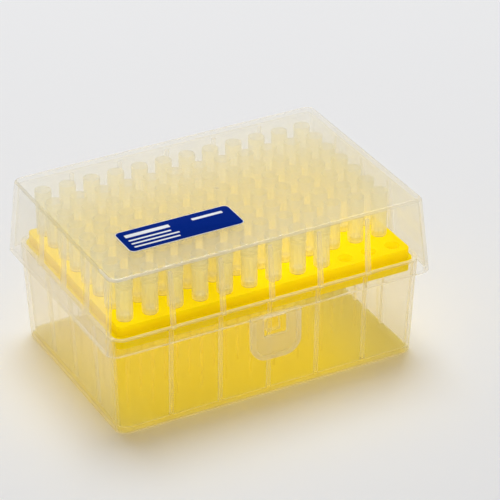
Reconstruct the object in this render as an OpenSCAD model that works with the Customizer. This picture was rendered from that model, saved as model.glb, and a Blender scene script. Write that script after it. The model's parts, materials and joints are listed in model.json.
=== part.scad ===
// Hinged storage box of filter pipette tips in the 96-place layout.
// A tub with a snap catch and hinge bars holds a drop-in rack, the tips hang in
// the rack's holes by their shoulders, and a tall lid clips on to the hinge bars.
// Millimetres. The origin is the centre of the tub's underside, +X runs along
// the box, the front with the latch faces -Y and +Z is up.

/* [Tip grid] */
// Distance between neighbouring tips
pitch = 9; // [8.8:0.05:9.4]
// Tips that are left in the front row, counted from the left
front_row_tips = 9; // [1:1:12]

/* [Base] */
// Height of the tub up to its top edge
base_height = 36.8; // [34:0.2:42]
// Outer face of the tub at its floor, beyond the outer tip centres
base_margin = 6.15; // [6:0.05:7.5]
// Wall thickness of the tub
base_wall = 1.5; // [1.2:0.1:1.7]
// Floor thickness of the tub
base_floor = 1.5; // [1:0.1:2.5]
// Outer corner radius of the tub
base_corner = 4.8; // [4:0.1:6]
// Outward slope of the tub's walls in degrees
base_draft = 2.3; // [1.8:0.1:3]
// How far the tub's inner ribs stand out of its walls
base_rib_depth = 1; // [0.8:0.05:1.1]

/* [Rack] */
// Height of the rack's top face above the tub's top edge
rack_rise = 3.4; // [2.8:0.1:4.5]
// Thickness of the rack's plate
rack_plate = 1.6; // [1.2:0.1:2.4]
// Edge of the rack's plate beyond the outer tip centres
rack_margin = 4.6; // [4.2:0.05:4.7]
// Corner radius of the rack's plate
rack_corner = 2; // [1:0.1:3]
// Thickness of the rack's skirt
rack_wall = 1.2; // [0.9:0.1:1.4]
// Depth of the rack's skirt below its top face
skirt_depth = 8.2; // [7:0.1:9]
// Thickness of the flange that rests on the tub's ribs
flange = 1.2; // [0.8:0.1:1.6]
// Drop of the flange's top face below the tub's top edge
flange_drop = 0.4; // [0.2:0.1:1]
// Gap between the flange and the tub's walls
flange_gap = 0.25; // [0.15:0.05:0.35]
// Diameter of the tip holes
hole_d = 5; // [4.8:0.05:5.2]

/* [Tips] */
// Overall length of a tip
tip_length = 50.5; // [46:0.5:52]
// Height of a tip's mouth above the rack
tip_rise = 16.8; // [15:0.2:18]
// Diameter of the collar round the mouth
collar_d = 5.8; // [5.7:0.05:6.2]
// Height of the collar
collar_height = 5.2; // [4:0.1:7]
// Diameter of the ribbed body that stands on the rack
body_d = 5.4; // [5.35:0.05:5.6]
// Length of the body that hangs below the rack's top face
seat_length = 3.6; // [3:0.1:5]
// Length of the cone between the body and the stem
cone_length = 1.2; // [0.8:0.1:2]
// Diameter of the stem at its upper end
stem_d = 2.1; // [1.8:0.1:2.6]
// Diameter of the stem at its lower end
point_d = 0.9; // [0.8:0.05:1.2]
// Diameter of the channel at the stem's lower end
outlet_d = 0.45; // [0.3:0.05:0.55]
// Wall thickness of a tip
tip_wall = 0.4; // [0.3:0.05:0.5]
// Radial clearance of a tip's body in its hole
tip_fit = 0.05; // [0.03:0.01:0.1]
// Length of the filter plug
filter_length = 4.2; // [3:0.1:5]
// Radial clearance of the filter plug in the tip
filter_fit = 0.02; // [0.01:0.01:0.05]

/* [Lid] */
// Wall thickness of the lid
lid_wall = 1.4; // [1.1:0.1:1.6]
// Outer corner radius of the lid at its rim
lid_corner = 4.3; // [3.5:0.1:5.5]
// Inward slope of the lid's walls in degrees
lid_draft = 5.3; // [4:0.1:6]
// Radius of the rounded edge round the lid's top
lid_edge = 1.5; // [1:0.1:2.5]
// How far the lid's skirt reaches below the tub's top edge
lid_overlap = 4.2; // [3:0.1:5]
// Gap between the lid's rim and the tub's wall
skirt_gap = 1.6; // [1.2:0.05:2]
// Free height between the tips' mouths and the lid
head_room = 1.4; // [0.8:0.1:4]
// Reach of the lid's ribs over the tub's top edge
lid_rib_reach = 0.9; // [0.6:0.05:1.3]
// Depth of the lid's ribs at their upper end
lid_rib_top = 1; // [0.6:0.1:1.4]
// Diameter of the gate mark in the middle of the lid
gate_d = 1.6; // [1:0.1:3]

/* [Ribs] */
// Width of the ribs in the tub and in the lid
rib_width = 1.2; // [0.8:0.1:2]
// Distance between ribs, in tip places
rib_places = 2; // [2:1:3]

/* [Latch] */
// Width of the latch tab
tab_width = 18.5; // [16:0.5:24]
// How far the latch tab hangs below the lid's rim
tab_drop = 16.1; // [14:0.1:20]
// Corner radius at the foot of the latch tab
tab_corner = 6; // [3:0.5:7]
// Width of the raised border round the latch tab
border_width = 1.8; // [1.2:0.1:2.4]
// Height of the raised border
border_rise = 0.5; // [0.3:0.05:0.8]
// Width of the window in the latch tab
window_width = 8.6; // [7.5:0.1:10]
// Height of the window in the latch tab
window_height = 7; // [6:0.1:8]
// Drop of the window's upper edge below the lid's rim
window_drop = 0.6; // [0.4:0.1:1.2]
// Width of the catch on the tub
catch_width = 5; // [3:0.1:6]
// Height of the catch
catch_height = 5.4; // [4:0.1:5.6]
// Gap between the catch and the latch tab
catch_gap = 0.2; // [0.15:0.05:0.5]

/* [Hinge] */
// Distance between the two hinge clips, in tip places
hinge_places = 8; // [6:1:9]
// Diameter of the hinge bars
bar_d = 3; // [2.6:0.1:3.4]
// Drop of the hinge bars below the lid's rim
bar_drop = 3.4; // [3.2:0.1:4]
// Distance of the hinge bars behind the lid's rim
bar_offset = 0.4; // [0.2:0.05:1]
// Radial clearance of the clips on their bars
bar_fit = 0.05; // [0.02:0.01:0.1]
// Wall thickness of the clips
clip_wall = 1.3; // [1:0.1:1.5]
// Width of the clips
clip_width = 11; // [8:0.5:14]
// Opening of the clips, narrower than the bars
clip_mouth = 2.4; // [2:0.1:2.6]
// Gap between a clip and the ears beside it
ear_gap = 0.4; // [0.3:0.05:0.8]
// Thickness of the ears that hold the bars
ear_width = 1.8; // [1.2:0.1:3]
// Wall of the ears round the bars
ear_wall = 0.7; // [0.5:0.1:1]
// Angle at which the clips' stop lugs meet the tub
open_angle = 110; // [100:1:120]
// Reach of the stop lugs from the bars' axis
lug_reach = 4.2; // [4:0.1:4.6]
// Thickness of the stop lugs
lug_thick = 1.4; // [1:0.1:2]

/* [Label] */
// Length of the label
label_length = 41.4; // [30:0.2:50]
// Width of the label
label_width = 13.8; // [10:0.2:18]
// Corner radius of the label
label_corner = 2; // [0.5:0.1:4]
// Thickness of the label
label_thick = 0.15; // [0.1:0.05:0.3]
// Label centre to the left of the lid's middle
label_left = 23.1; // [0:0.1:28]
// Label centre in front of the lid's middle
label_front = 18.8; // [0:0.1:26]

/* [Hidden] */
$fn = 64;
hull_fn = 32;
slice = 0.01;
columns = 12;
rows = 8;
row_letters = "abcdefgh";
grid_length = (columns - 1) * pitch;
grid_width = (rows - 1) * pitch;

rack_top = base_height + rack_rise;
plate_foot = rack_top - rack_plate;
flange_top = base_height - flange_drop;
rib_seat = flange_top - flange;
tip_top = rack_top + tip_rise;
lid_rim = base_height - lid_overlap;
lid_inside = tip_top + head_room;
lid_top = lid_inside + lid_wall;

base_rim_margin = base_side(base_height);
flange_margin = base_side(rib_seat) - base_wall - flange_gap;
lid_margin = base_side(lid_rim) + skirt_gap + lid_wall;
lid_rib_margin = base_rim_margin - lid_rib_reach;

seat_r = hole_d / 2 - tip_fit;
filter_bore = seat_r - tip_wall - 0.1;
filter_base = cone_length - seat_length;
point_drop = tip_length - tip_rise;
mouth_r = collar_d / 2 - tip_wall;
chamfer = 0.25;
stop_gap = 0.1;

bar_y = grid_width / 2 + lid_margin + bar_offset;
bar_z = lid_rim - bar_drop;
clip_r = bar_d / 2 + bar_fit + clip_wall;
ear_r = bar_d / 2 + ear_wall;
// Where a lug's leading corner meets the tub, as an angle below the bar
stop_room = bar_y - grid_width / 2 - base_side(bar_z - lug_reach / 2) - stop_gap;
lug_angle = 180 - open_angle - acos(stop_room / lug_reach) - asin(lug_thick / 2 / lug_reach);

// Distances of the walls' outer faces beyond the outer tip centres, at height z
function base_side(z) = base_margin + max(0, z - base_floor) * tan(base_draft);
function lid_side(z) = lid_margin - (z - lid_rim) * tan(lid_draft);
function lid_radius(z) = lid_corner - (z - lid_rim) * tan(lid_draft) / 2;
function column_x(i) = (i - (columns - 1) / 2) * pitch;
function row_y(j) = ((rows - 1) / 2 - j) * pitch;
function tips_in(j) = j == rows - 1 ? front_row_tips : columns;

// A rectangle with round corners, centred on the origin
module round_rectangle(length, width, r) {
    square([length - 2 * r, width], center = true);
    square([length, width - 2 * r], center = true);
    for (x = [-1, 1], y = [-1, 1])
        translate([x * (length / 2 - r), y * (width / 2 - r)]) circle(r);
}

// The outline that lies a margin outside the outer tip centres
module outline(margin, r) {
    round_rectangle(grid_length + 2 * margin, grid_width + 2 * margin, r);
}

// A convex shell through outlines given as [height, margin, corner radius]
module loft(sections) {
    hull()
        for (s = sections)
            translate([0, 0, s[0]]) linear_extrude(slice) outline(s[1], s[2], $fn = hull_fn);
}

// A thin wall in the YZ plane, swept along X and centred there
module rib(profile, width = rib_width) {
    rotate([90, 0, 90]) linear_extrude(width, center = true) polygon(profile);
}

// Ribs along all four walls; the profile is measured from the outer tip centres
module wall_ribs(profile) {
    step = rib_places * pitch;
    along = floor((columns - 2) / 2 / rib_places);
    across = floor((rows - 2) / 2 / rib_places);
    for (side = [0, 180], i = [-along : along])
        rotate(side) translate([i * step, grid_width / 2, 0]) rib(profile);
    for (side = [90, -90], i = [-across : across])
        rotate(side) translate([i * step, grid_length / 2, 0]) rib(profile);
}

// The front catch: a wedge whose flat foot faces the table
module front_catch() {
    nose = lid_margin - lid_wall - catch_gap;
    foot = lid_rim - window_drop - window_height + (window_height - catch_height) / 2;
    root = base_side(foot) - base_wall / 2;
    profile = [
        [root, foot], [nose, foot], [nose, foot + catch_height * 0.45],
        [base_side(foot + catch_height), foot + catch_height], [root, foot + catch_height]
    ];
    rotate(180) translate([0, grid_width / 2, 0]) rib(profile, catch_width);
}

// One hinge bar with its two ears, at x = 0
module hinge_bar() {
    inner = clip_width / 2 + ear_gap;
    root = grid_width / 2 + base_side(bar_z) - base_wall / 2;
    translate([0, bar_y, bar_z]) rotate([0, 90, 0]) cylinder(d = bar_d, h = 2 * inner, center = true);
    for (side = [-1, 1]) translate([side * (inner + ear_width / 2), 0, 0]) {
        translate([0, bar_y, bar_z]) rotate([0, 90, 0]) cylinder(r = ear_r, h = ear_width, center = true);
        rib([
            [root, bar_z - 2 * ear_r], [root, bar_z + ear_r], [bar_y, bar_z + ear_r],
            [bar_y, bar_z - ear_r], [bar_y - ear_r / 2, bar_z - ear_r]
        ], ear_width);
    }
}

module base_box() {
    rib_foot = base_side(base_floor) - base_wall;
    rib_head = base_side(rib_seat) - base_wall;
    color([0.95, 0.94, 0.88, 0.5]) {
        linear_extrude(base_floor) outline(base_margin, base_corner);
        difference() {
            loft([
                [base_floor - slice, base_side(base_floor), base_corner],
                [base_height - slice, base_side(base_height), base_corner]
            ]);
            loft([
                [base_floor, base_side(base_floor) - base_wall, base_corner - base_wall],
                [base_height, base_side(base_height) - base_wall, base_corner - base_wall]
            ]);
        }
        wall_ribs([
            [rib_foot - base_rib_depth, base_floor - slice], [rib_foot + base_wall / 2, base_floor - slice],
            [rib_head + base_wall / 2, rib_seat], [rib_head - base_rib_depth, rib_seat]
        ]);
        front_catch();
        for (side = [-1, 1]) translate([side * hinge_places * pitch / 2, 0, 0]) hinge_bar();
    }
}

// The rack's plate with its holes; it stands on the rack's skirt
module tip_rack() {
    color([0.96, 0.8, 0.02]) difference() {
        translate([0, 0, plate_foot]) linear_extrude(rack_plate)
            outline(rack_margin, rack_corner);
        for (i = [0 : columns - 1], j = [0 : rows - 1])
            translate([column_x(i), row_y(j), plate_foot - rack_plate])
                cylinder(d = hole_d, h = 3 * rack_plate);
    }
}

// The rack's skirt below the plate, with the flange that rests on the tub's ribs
module rack_skirt() {
    skirt_foot = rack_top - skirt_depth;
    color([0.96, 0.8, 0.02]) difference() {
        union() {
            translate([0, 0, skirt_foot]) linear_extrude(plate_foot - skirt_foot)
                outline(rack_margin, rack_corner);
            translate([0, 0, rib_seat]) linear_extrude(flange)
                outline(flange_margin, base_corner - base_wall);
        }
        translate([0, 0, skirt_foot - slice])
            linear_extrude(skirt_depth)
                outline(rack_margin - rack_wall, max(0.4, rack_corner - rack_wall));
    }
}

// One hollow tip; z = 0 is the shoulder that stands on the rack
module tip() {
    collar_foot = tip_rise - collar_height;
    rotate_extrude() polygon([
        [collar_d / 2, tip_rise], [collar_d / 2, collar_foot], [body_d / 2, collar_foot - chamfer],
        [body_d / 2, 0], [seat_r, 0], [seat_r, -seat_length],
        [stem_d / 2, -seat_length - cone_length], [point_d / 2, -point_drop],
        [outlet_d / 2, -point_drop], [stem_d / 2 - tip_wall, filter_base - chamfer],
        [stem_d / 2 - tip_wall, filter_base], [filter_bore, filter_base],
        [filter_bore, filter_base + filter_length + chamfer],
        [mouth_r, collar_foot], [mouth_r, tip_rise]
    ]);
}

module tips_row(j) {
    color([0.94, 0.93, 0.88, 0.6])
        for (i = [0 : tips_in(j) - 1]) translate([column_x(i), row_y(j), rack_top]) tip();
}

module filters_row(j) {
    color("white")
        for (i = [0 : tips_in(j) - 1]) translate([column_x(i), row_y(j), rack_top + filter_base])
            cylinder(r = filter_bore - filter_fit, h = filter_length);
}

// The latch tab's outline in the XZ plane, inset by a margin, with an open top
module tab_outline(inset, top) {
    half = tab_width / 2 - inset;
    r = tab_corner - inset;
    foot = lid_rim - tab_drop + inset;
    translate([-half, foot + r]) square([2 * half, top - foot - r]);
    translate([-half + r, foot]) square([2 * (half - r), r]);
    for (x = [-1, 1]) translate([x * (half - r), foot + r]) circle(r);
}

// The latch tab: a tongue with a raised border and a window for the catch
module latch_tab() {
    top = lid_rim + lid_wall / 2;
    front = grid_width / 2 + lid_margin;
    window_foot = lid_rim - window_drop - window_height;
    difference() {
        union() {
            translate([0, lid_wall - front, 0]) rotate([90, 0, 0])
                linear_extrude(lid_wall) tab_outline(0, top);
            translate([0, -front, 0]) rotate([90, 0, 0]) linear_extrude(border_rise) difference() {
                tab_outline(0, top);
                tab_outline(border_width, top + slice);
            }
        }
        translate([-window_width / 2, -front - lid_wall, window_foot])
            cube([window_width, 3 * lid_wall, window_height]);
    }
}

// One clip that snaps over a hinge bar, at x = 0
module hinge_clip() {
    arm_root = grid_width / 2 + lid_margin - lid_wall * 0.65;
    arm_back = bar_y + clip_r / 2;
    difference() {
        union() {
            translate([0, bar_y, bar_z]) rotate([0, 90, 0])
                cylinder(r = clip_r, h = clip_width, center = true);
            rib([
                [arm_root, bar_z], [arm_back, bar_z],
                [arm_back, lid_rim + lid_wall], [arm_root, lid_rim + 2 * lid_wall]
            ], clip_width);
            translate([0, bar_y, bar_z]) rotate([-lug_angle, 0, 0]) translate([0, lug_reach / 2, 0])
                cube([clip_width, lug_reach, lug_thick], center = true);
        }
        translate([0, bar_y, bar_z]) rotate([0, 90, 0])
            cylinder(r = bar_d / 2 + bar_fit, h = 2 * clip_width, center = true);
        translate([0, bar_y, bar_z - clip_r])
            cube([2 * clip_width, clip_mouth, 2 * clip_r], center = true);
    }
}

module lid() {
    edge_foot = lid_top - lid_edge;
    rib_top = lid_inside - lid_edge;
    rib_foot_margin = lid_side(base_height) - lid_wall / 2;
    rib_top_margin = lid_side(rib_top) - lid_wall / 2;
    color([0.92, 0.92, 0.9, 0.35]) {
        difference() {
            loft(concat(
                [[lid_rim, lid_margin, lid_corner]],
                [for (a = [0 : 22.5 : 90]) [
                    edge_foot + lid_edge * sin(a) - slice,
                    lid_side(edge_foot) - lid_edge * (1 - cos(a)),
                    lid_radius(edge_foot) - lid_edge * (1 - cos(a)) / 2
                ]]
            ));
            loft([
                [lid_rim - slice, lid_margin - lid_wall, lid_corner - lid_wall],
                [lid_inside - slice, lid_side(lid_inside) - lid_wall, lid_radius(lid_inside) - lid_wall]
            ]);
        }
        wall_ribs([
            [lid_rib_margin, base_height], [rib_foot_margin, base_height],
            [rib_top_margin, rib_top], [rib_top_margin - lid_rib_top - lid_wall / 2, rib_top]
        ]);
        translate([0, 0, lid_top - slice]) cylinder(d = gate_d, h = label_thick + slice);
        latch_tab();
        for (side = [-1, 1]) translate([side * hinge_places * pitch / 2, 0, 0]) hinge_clip();
    }
}

module lid_label() {
    color([0, 0.2, 0.52]) translate([-label_left, -label_front, lid_top])
        linear_extrude(label_thick) round_rectangle(label_length, label_width, label_corner);
}

base_box();
tip_rack();
rack_skirt();
lid();
lid_label();
for (j = [0 : rows - 1]) {
    tips_row(j);
    filters_row(j);
}
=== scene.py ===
"""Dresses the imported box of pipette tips: a clear lid, a milky tub, a yellow rack and ribbed tips.

Every piece is a surface worked out with numpy in the part's own frame, in metres.
"""

import json
import math

import bpy
import numpy as np
from bpy.props import FloatProperty, FloatVectorProperty, IntProperty, PointerProperty
from mathutils import Matrix, Vector


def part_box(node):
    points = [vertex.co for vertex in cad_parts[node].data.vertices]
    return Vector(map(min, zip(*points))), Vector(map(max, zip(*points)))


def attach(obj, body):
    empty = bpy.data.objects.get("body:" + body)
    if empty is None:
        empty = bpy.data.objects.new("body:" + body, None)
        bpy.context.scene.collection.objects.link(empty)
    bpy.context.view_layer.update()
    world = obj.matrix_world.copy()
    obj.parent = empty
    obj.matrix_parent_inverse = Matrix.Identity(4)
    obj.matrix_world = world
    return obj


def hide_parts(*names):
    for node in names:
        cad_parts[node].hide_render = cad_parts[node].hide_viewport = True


bl_info = {
    "name": "Pipette tip box",
    "version": (1, 0, 0),
    "blender": (4, 5, 0),
    "location": "3D View > Sidebar > Tip box",
    "description": "Builds the lid, tub, rack, tips, label and studio of a hinged pipette tip box",
    "category": "Object",
}

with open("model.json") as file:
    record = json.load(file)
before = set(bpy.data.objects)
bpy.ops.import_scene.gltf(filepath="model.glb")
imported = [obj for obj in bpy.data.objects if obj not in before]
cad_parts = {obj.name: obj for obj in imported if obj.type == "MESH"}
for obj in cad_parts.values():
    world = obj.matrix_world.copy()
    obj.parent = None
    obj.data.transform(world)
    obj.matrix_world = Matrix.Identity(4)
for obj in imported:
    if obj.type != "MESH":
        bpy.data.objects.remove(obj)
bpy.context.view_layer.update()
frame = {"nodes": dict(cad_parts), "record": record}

MM = 0.001
# Distance from a rounded edge to the loop that keeps the flat beside it flat
HOLD = 0.2 * MM
ROWS = "abcdefgh"
COLUMNS = 12
TIP_RADIUS = 2.9 * MM
TUB_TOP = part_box("base_box")[1].z
LID_LOW, LID_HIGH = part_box("lid")
PLATE_LOW, PLATE_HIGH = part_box("tip_rack")
SKIRT_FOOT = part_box("rack_skirt")[0].z
LABEL_LOW, LABEL_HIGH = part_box("lid_label")
HINGE = Vector(frame["record"]["behaviour"]["joints"][0]["pos_m"])
BACK_ROW_LOW, BACK_ROW_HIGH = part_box("tips_row_a")
# Half the distance between the outer tips' axes, along and across the box
GRID_X = (BACK_ROW_HIGH.x - BACK_ROW_LOW.x) / 2 - TIP_RADIUS
GRID_Y = (BACK_ROW_HIGH.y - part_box("tips_row_h")[0].y) / 2 - TIP_RADIUS
PITCH = 2 * GRID_X / (COLUMNS - 1)
# Middle of a hinge clip from the box's middle
CLIP_PLACE = 4 * PITCH
RACK_TOP = PLATE_HIGH.z
# The label stands on the lid's top, and the lid's rim hangs down round the tub's
LID_TOP = LABEL_LOW.z
LID_RIM = TUB_TOP - 4.2 * MM


def length(name, text, default):
    """A size in metres that the panel shows in the scene's unit."""
    return FloatProperty(name=name, description=text, default=default, min=0.0, unit="LENGTH", precision=5)


def share(name, text, default):
    """A number from 0 to 1."""
    return FloatProperty(name=name, description=text, default=default, min=0.0, max=1.0, subtype="FACTOR")


def angle(name, text, degrees):
    """An angle, given in degrees."""
    return FloatProperty(name=name, description=text, default=math.radians(degrees), subtype="ANGLE")


def colour(name, text, default):
    """A linear colour."""
    return FloatVectorProperty(
        name=name, description=text, default=default, size=3, min=0.0, max=1.0, subtype="COLOR"
    )


class TubSettings(bpy.types.PropertyGroup):
    wall: length("Wall", "Thickness of the tub's walls", 1.5 * MM)
    floor: length("Floor", "Thickness of the tub's floor", 1.5 * MM)
    corner: length("Corner", "Outer radius of the upright corners", 4.8 * MM)
    foot_edge: length("Foot edge", "Radius of the edge round the foot", 0.8 * MM)
    margin: length("Margin", "Outer face at the floor beyond the outer tips", 6.15 * MM)
    draft: angle("Draft", "Outward slope of the walls", 2.3)
    rib_depth: length("Rib depth", "How far the inner ribs stand out", 1.0 * MM)
    tint: colour("Tint", "Colour of the plastic's haze", (0.93, 0.90, 0.80))
    # Painted light: the rack's yellow light on the floor and low walls, put into the colour
    glow: colour("Glow", "Colour that the floor picks up under the rack", (0.75, 0.70, 0.02))
    haze: share("Haze", "How milky a wall is when seen head on", 0.01)


class LidSettings(bpy.types.PropertyGroup):
    wall: length("Wall", "Thickness of the lid's walls", 1.4 * MM)
    corner: length("Corner", "Outer radius of the upright corners at the rim", 4.3 * MM)
    edge: length("Edge", "Radius of the rounded edge round the top", 1.5 * MM)
    draft: angle("Draft", "Inward slope of the walls", 5.3)
    rib_foot: length("Rib foot depth", "How far the ribs stand in at the tub's edge", 1.94 * MM)
    rib_head: length("Rib head depth", "How far the ribs stand in at their upper end", 1.0 * MM)
    gate: length("Gate mark", "Diameter of the gate mark", 1.6 * MM)
    tint: colour("Tint", "Colour of the plastic's haze", (0.90, 0.87, 0.79))
    # Painted light and shade: the top's haze is darker and yellower than the walls', for the rack's yellow
    # light and the strong light on the top
    top: colour("Top tint", "Colour of the haze in the top", (0.79, 0.75, 0.60))
    # Painted shade: a darker line along the top's edge, which gives way at the front to a pale painted
    # highlight
    line: colour("Edge line", "Colour of the line along the top's edge", (0.58, 0.55, 0.45))
    haze: share("Haze", "How milky a wall is when seen head on", 0.003)


class RibSettings(bpy.types.PropertyGroup):
    width: length("Width", "Width of the ribs in the tub and the lid", 1.2 * MM)
    places: IntProperty(name="Places", description="Tip places from rib to rib", default=2, min=1, max=4)


class LatchSettings(bpy.types.PropertyGroup):
    width: length("Width", "Width of the latch tab", 18.5 * MM)
    drop: length("Drop", "How far the tab hangs below the rim", 16.1 * MM)
    corner: length("Corner", "Radius at the foot of the tab", 6 * MM)
    border: length("Border", "Width of the raised border", 1.8 * MM)
    rise: length("Rise", "Height of the raised border", 0.5 * MM)
    window_width: length("Window width", "Width of the window", 8.6 * MM)
    window_height: length("Window height", "Height of the window", 7 * MM)
    window_drop: length("Window drop", "Window's upper edge below the rim", 0.6 * MM)


class HingeSettings(bpy.types.PropertyGroup):
    bar: length("Bar", "Diameter of the hinge bars", 3 * MM)
    clip_wall: length("Clip wall", "Wall of the clips round the bars", 1.3 * MM)
    clip_width: length("Clip width", "Width of the clips", 11 * MM)
    ear_width: length("Ear width", "Thickness of the ears that hold the bars", 1.8 * MM)
    ear_gap: length("Ear gap", "Gap between a clip and its ears", 0.4 * MM)


class TipSettings(bpy.types.PropertyGroup):
    fins: IntProperty(name="Fins", description="Fine ribs round the body of a tip", default=12, min=6, max=16)
    fin_depth: length("Fin depth", "Depth of the grooves between the fins", 0.24 * MM)
    # Painted light: the tips' yellow is the rack's light, put into the haze's colour
    tint: colour("Tint", "Colour of the plastic's haze", (1.0, 0.93, 0.50))
    # Painted shade: the haze is darker at the mouths, which catch more light than the feet
    head: colour("Head tint", "Colour of the haze at the mouth", (0.68, 0.65, 0.42))
    haze: share("Haze", "How milky a tip's wall is when seen head on", 0.4)
    # Painted shade: the white plugs get a darker, yellower colour, to take back the light that falls on them
    # through the tips
    filter_tint: colour("Filter", "Colour of the filter plugs", (0.72, 0.65, 0.38))


class RackSettings(bpy.types.PropertyGroup):
    bore: length("Bore", "Diameter of the holes for the tips", 5.02 * MM)
    sleeve: length("Sleeve", "How far the sleeves hang below the plate", 2 * MM)
    sleeve_wall: length("Sleeve wall", "Wall of the sleeves under the holes", 0.7 * MM)
    tint: colour("Tint", "Colour of the rack", (0.92, 0.82, 0.0))
    passed: colour("Passed light", "Colour of the light that the rack lets through", (1.0, 0.92, 0.0))
    clearness: share("Clearness", "Share of the light that goes straight through", 0.15)


class LabelSettings(bpy.types.PropertyGroup):
    corner: length("Corner", "Corner radius of the label", 2 * MM)
    border: length("Border", "Width of the bare white border", 0.24 * MM)
    ink: colour("Ink", "Colour of the printed field", (0.0, 0.018, 0.20))
    paper: colour("Paper", "Colour of the border and bars", (0.86, 0.87, 0.88))


class StudioSettings(bpy.types.PropertyGroup):
    azimuth: angle("Azimuth", "Camera's turn round the box", -27.416)
    elevation: angle("Elevation", "Camera's height angle", 29.846)
    roll: angle("Roll", "Camera's roll", -0.522)
    distance: length("Distance", "Camera's distance from its aim", 0.927391)
    aim: FloatVectorProperty(
        name="Aim", description="Point that the camera looks at", default=(0.014674, 0.004548, 0.029688),
        size=3, subtype="TRANSLATION", unit="LENGTH",
    )
    lens: FloatProperty(name="Lens", description="Focal length in millimetres", default=195.04, min=10)
    floor: colour("Floor", "Colour of the floor", (0.85, 0.85, 0.86))
    key: FloatProperty(name="Key light", description="Power of the softbox", default=50.5, unit="POWER")
    fill: share("Fill light", "Strength of the even light from all round", 0.25)


SETTINGS = {
    "tub": TubSettings,
    "lid": LidSettings,
    "ribs": RibSettings,
    "latch": LatchSettings,
    "hinge": HingeSettings,
    "tips": TipSettings,
    "rack": RackSettings,
    "label": LabelSettings,
    "studio": StudioSettings,
}


class TipBoxSettings(bpy.types.PropertyGroup):
    """All sizes and colours of the box, by piece."""

    __annotations__ = {
        key: PointerProperty(name=key.capitalize(), description="Sizes and colours of this piece", type=kind)
        for key, kind in SETTINGS.items()
    }


# ---------------------------------------------------------------- surfaces


def skin(points, first=None, last=None, closed=False):
    """Faces over a grid of points that closes round its second axis.

    Each grid cell is a quad. The grid's two ends meet when it is closed, or each ends in a pole that a
    fan of triangles reaches. Faces look along (second axis) x (first axis).
    """
    count, around = points.shape[:2]
    index = np.arange(count * around).reshape(count, around)
    lower = index if closed else index[:-1]
    upper = np.roll(index, -1, 0) if closed else index[1:]
    quads = np.stack([lower, np.roll(lower, -1, 1), np.roll(upper, -1, 1), upper], -1).reshape(-1, 4)
    corners, fans = [points.reshape(-1, 3)], []
    for pole, ring in ((first, index[0]), (last, index[-1])):
        if pole is None:
            continue
        tip = np.full(around, count * around + len(corners) - 1)
        after = np.roll(ring, -1)
        fans.append(np.stack([tip, after, ring] if pole is first else [ring, after, tip], -1))
        corners.append(np.reshape(pole, (1, 3)))
    return np.concatenate(corners), quads, np.concatenate(fans) if fans else np.zeros((0, 3), int)


def volume(corners, quads, fans):
    """Signed volume, positive if faces look out: a tetrahedron from the origin to each triangle."""
    triangles = np.concatenate([quads[:, [0, 1, 2]], quads[:, [0, 2, 3]], fans])
    a, b, c = (corners[triangles[:, k]] for k in range(3))
    return np.einsum("ij,ij->", a, np.cross(b, c)) / 6


def turned_out(part):
    """The same faces, turned over if they look inwards."""
    corners, quads, fans = part
    return part if volume(*part) > 0 else (corners, quads[:, ::-1], fans[:, ::-1])


def piece(name, parts, finish, body, stands_for=(), crease=35, lines=None):
    """One object of several closed surfaces, smooth but for edges sharper than the crease angle.

    Lines are numbers from 0 to 1 for the first surface's points, which its finish reads as the attribute
    rib_and_highlight_line.
    """
    faces, corners, start = [], [], 0
    for spots, quads, fans in map(turned_out, parts):
        corners.append(spots)
        faces += (quads + start).tolist() + (fans + start).tolist()
        start += len(spots)
    mesh = bpy.data.meshes.new(name)
    mesh.from_pydata(np.concatenate(corners).tolist(), [], faces)
    mesh.shade_smooth()
    mesh.set_sharp_from_angle(angle=math.radians(crease))
    mesh.materials.append(finish)
    if lines is not None:
        marks = mesh.attributes.new("rib_and_highlight_line", "FLOAT", "POINT")
        marks.data.foreach_set("value", np.pad(lines.ravel(), (0, len(mesh.vertices) - lines.size)))
    thing = bpy.data.objects.new(name, mesh)
    bpy.context.scene.collection.objects.link(thing)
    if not mesh.polygons:
        raise RuntimeError(f"{name} has no faces")
    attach(thing, body)
    if stands_for:
        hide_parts(*stands_for)
    return thing


def wall_stations(ribs, corner_steps=9):
    """Places round a rounded rectangle, shared by all its levels.

    A straight side has two stations at each flank of a rib, close enough for the flank to stand upright,
    and one just outside it. A corner is a quarter circle of even steps, with one more station a little way
    along each side to keep the flat wall's shading flat. Columns: angle of the outward normal, signs of
    the half sizes, offset along the side, 1 on a rib, and 1 on a rib or its flanks.
    """
    step, half = ribs.places * PITCH, ribs.width / 2
    table = []
    for turn in range(4):
        angle = turn * math.pi / 2
        reach = GRID_X if turn % 2 else GRID_Y
        steps = math.floor((reach - PITCH) / step + 1e-6)
        centres = step * np.arange(-steps, steps + 1)
        outside = half + np.array([0.15, 0.05]) * MM  # beside a flank, and its foot
        along = (centres[:, None] + [*-outside, -half, half, *outside[::-1]]).ravel()
        on = np.tile([0.0, 0.0, 1.0, 1.0, 0.0, 0.0], len(centres))
        line = np.tile([0.0, 1.0, 1.0, 1.0, 1.0, 0.0], len(centres))
        c, s = round(math.cos(angle)), round(math.sin(angle))
        full = np.full(along.shape, 1.0)
        table.append(np.stack([angle * full, c * full, s * full, -s * along, c * along, on, line], -1))
        arc = np.linspace(angle, angle + math.pi / 2, corner_steps)[[0, *range(corner_steps), -1]]
        full, slide = np.full(arc.shape, 1.0), np.zeros((len(arc), 2))
        slide[0], slide[-1] = HOLD * np.array([s, -c]), HOLD * np.array([-c, -s])
        table.append(np.stack([arc, (c - s) * full, (s + c) * full, *slide.T, 0 * full, 0 * full], -1))
    return np.concatenate(table)


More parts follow.
